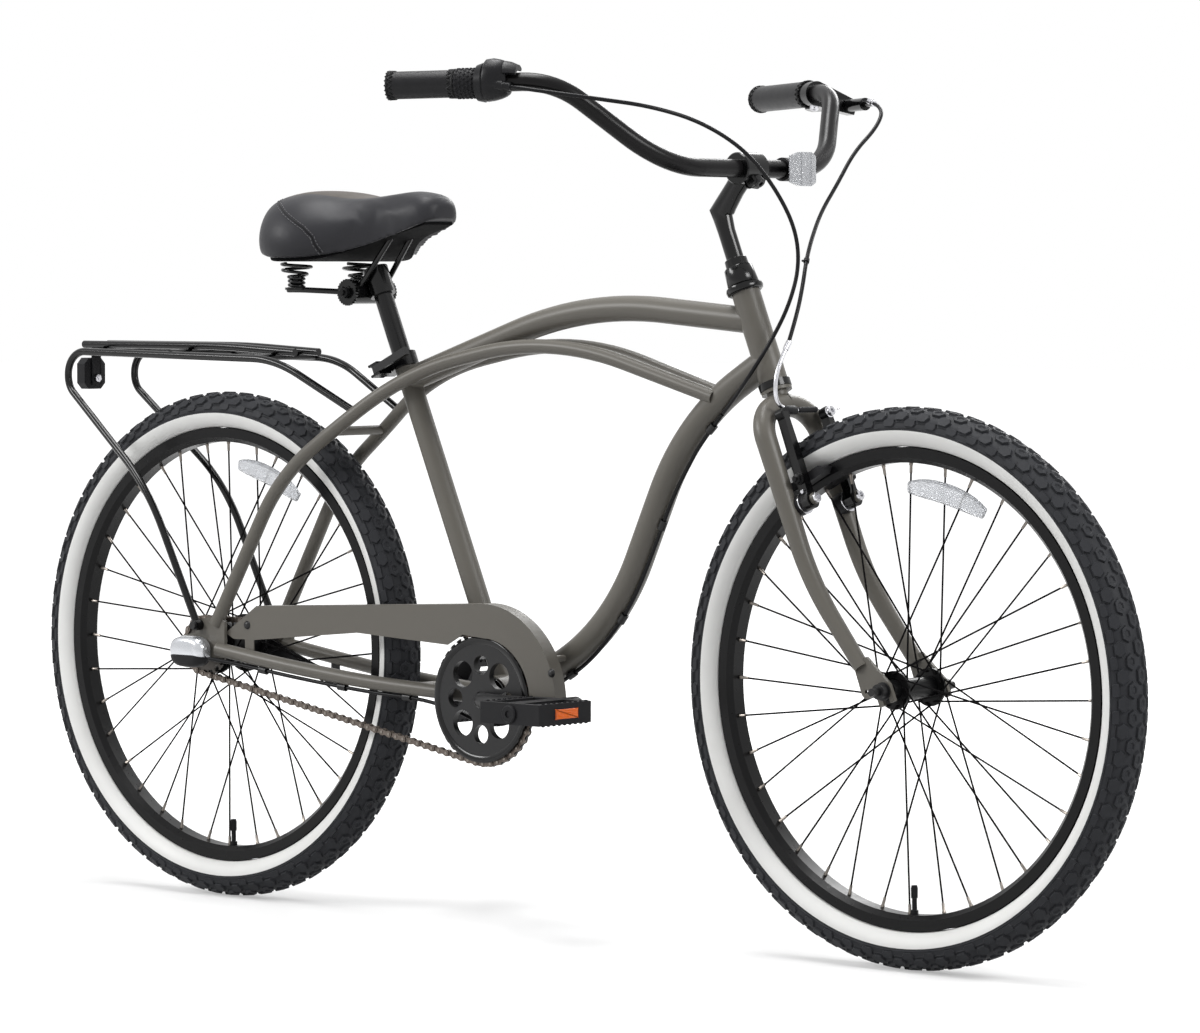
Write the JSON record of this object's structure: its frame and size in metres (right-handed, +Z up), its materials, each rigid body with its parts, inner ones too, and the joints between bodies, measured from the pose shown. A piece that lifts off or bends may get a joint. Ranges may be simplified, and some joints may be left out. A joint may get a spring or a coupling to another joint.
{
  "type": "beach cruiser bicycle",
  "caption": "Curved-tube beach cruiser bicycle with balloon tyres, swept handlebar, sprung saddle, rear rack, chain guard, hub gear and one rim brake.",
  "frame": {"origin": "on the ground, midway between the two axles, in the bicycle's middle plane", "axes": "+X forward, +Y to the rider's left, +Z up"},
  "size_m": [1.8076, 0.7227, 1.068],
  "materials": {
    "frame_paint": "matte",
    "black_metal": "gloss",
    "steel": "brushed",
    "tyre_rubber": "matte",
    "soft_rubber": "matte",
    "black_alloy": "satin",
    "black_plastic": "matte",
    "clear_lens": "gloss",
    "red_lens": "gloss",
    "saddle_cover": "satin",
    "chain_steel": "satin",
    "cable_jacket": "satin"
  },
  "bodies": {
    "frame": {"head_tube": "frame_paint", "bottom_bracket_shell": "frame_paint", "seat_tube": "frame_paint", "top_tube": "frame_paint", "down_tube": "frame_paint", "rear_dropouts": "frame_paint", "side_tubes": "frame_paint", "chainstays": "frame_paint", "frame_bridges": "frame_paint", "chain_guard": "frame_paint", "bearing_cups": "black_metal", "seat_clamp": "black_metal", "rack_rails": "black_metal", "rack_deck": "black_metal", "coaster_arm": "black_metal", "rear_axle": "steel", "frame_fittings": "steel", "shift_joint": "black_plastic", "rear_reflector": "red_lens", "chain": "chain_steel", "shift_cable": "cable_jacket"},
    "fork": {"fork_steerer": "frame_paint", "headset_locknut": "black_metal", "fork_blades": "frame_paint", "fork_fittings": "frame_paint", "stem": "black_metal", "handlebar": "black_metal", "grips": "soft_rubber", "shifter_housing": "black_plastic", "brake_bracket": "black_alloy", "front_reflector": "clear_lens", "front_axle": "steel", "brake_cable": "cable_jacket", "shift_cable_loop": "cable_jacket"},
    "front_wheel": {"front_tyre": "tyre_rubber", "front_rim": "black_alloy", "front_spokes": "black_metal", "front_hub": "black_alloy"},
    "rear_wheel": {"rear_tyre": "tyre_rubber", "rear_rim": "black_alloy", "rear_spokes": "black_metal", "rear_hub": "black_alloy"},
    "sprocket": {"rear_sprocket": "steel"},
    "crank": {"crank_arms": "black_metal", "chainring": "black_metal", "guard_disc": "black_metal"},
    "right_pedal": {"right_pedal": "black_plastic"},
    "left_pedal": {"left_pedal": "black_plastic"},
    "right_brake": {"brake_arm_right": "black_alloy", "brake_pad_right": "soft_rubber"},
    "left_brake": {"brake_arm_left": "black_alloy", "brake_pad_left": "soft_rubber"},
    "lever": {"brake_lever": "black_alloy"},
    "shifter": {"shifter_grip": "soft_rubber"},
    "seat": {"seatpost": "black_metal", "saddle_rails": "black_metal", "saddle_base": "black_plastic", "saddle_cushion": "saddle_cover", "saddle_springs": "black_metal"},
    "clamp_lever": {"seat_clamp_lever": "black_alloy"}
  },
  "joints": [
    {"name": "steering", "type": "hinge", "parent": "frame", "child": "fork", "pos_m": [0.35842, 0, 0.6916], "axis": [-0.3795, 0, 0.9252], "range_deg": [-55, 55], "deforming": ["shift_cable_loop"]},
    {"name": "front_wheel_spin", "type": "hinge", "parent": "fork", "child": "front_wheel", "pos_m": [0.57025, 0, 0.3335], "axis": [0, 1, 0], "continuous": true},
    {"name": "rear_wheel_spin", "type": "hinge", "parent": "frame", "child": "rear_wheel", "pos_m": [-0.57025, 0, 0.3335], "axis": [0, 1, 0], "continuous": true},
    {"name": "crank_spin", "type": "hinge", "parent": "frame", "child": "crank", "pos_m": [-0.07257, 0, 0.289], "axis": [0, 1, 0], "continuous": true, "deforming": ["chain"]},
    {"name": "sprocket_spin", "type": "hinge", "parent": "frame", "child": "sprocket", "pos_m": [-0.57025, 0, 0.3335], "axis": [0, 1, 0], "continuous": true},
    {"name": "right_pedal_spin", "type": "hinge", "parent": "crank", "child": "right_pedal", "pos_m": [0.09743, -0.1361, 0.289], "axis": [0, 1, 0], "continuous": true},
    {"name": "left_pedal_spin", "type": "hinge", "parent": "crank", "child": "left_pedal", "pos_m": [-0.24257, 0.1361, 0.289], "axis": [0, 1, 0], "continuous": true},
    {"name": "brake_lever_pull", "type": "hinge", "parent": "fork", "child": "lever", "pos_m": [0.20863, 0.32327, 1.03326], "axis": [0.113, 0.2878, 0.951], "range_deg": [0, 10], "stiffness_Nm_per_rad": 2, "springref_deg": -5.16},
    {"name": "right_brake_close", "type": "hinge", "parent": "fork", "child": "right_brake", "pos_m": [0.42356, -0.041, 0.54333], "axis": [-0.9252, 0, -0.3795], "range_deg": [0, 2.7]},
    {"name": "left_brake_close", "type": "hinge", "parent": "fork", "child": "left_brake", "pos_m": [0.42356, 0.041, 0.54333], "axis": [0.9252, 0, 0.3795], "range_deg": [0, 2.7]},
    {"name": "gear_twist", "type": "hinge", "parent": "fork", "child": "shifter", "pos_m": [0.12759, -0.30995, 1.04693], "axis": [0.9102, 0.4139, 0.017], "range_deg": [-40, 40]},
    {"name": "seat_height", "type": "slide", "parent": "frame", "child": "seat", "axis": [-0.3963, 0, 0.9181], "range_m": [-0.06, 0.03]},
    {"name": "seat_clamp_open", "type": "hinge", "parent": "frame", "child": "clamp_lever", "pos_m": [-0.27796, -0.025, 0.69918], "axis": [0.3963, 0, -0.9181], "range_deg": [0, 90]}
  ],
  "couplings": [
    {"joint": "sprocket_spin", "follows": "crank_spin", "ratio": 2.2222},
    {"joint": "right_brake_close", "follows": "brake_lever_pull", "ratio": 0.27},
    {"joint": "left_brake_close", "follows": "brake_lever_pull", "ratio": 0.27}
  ]
}
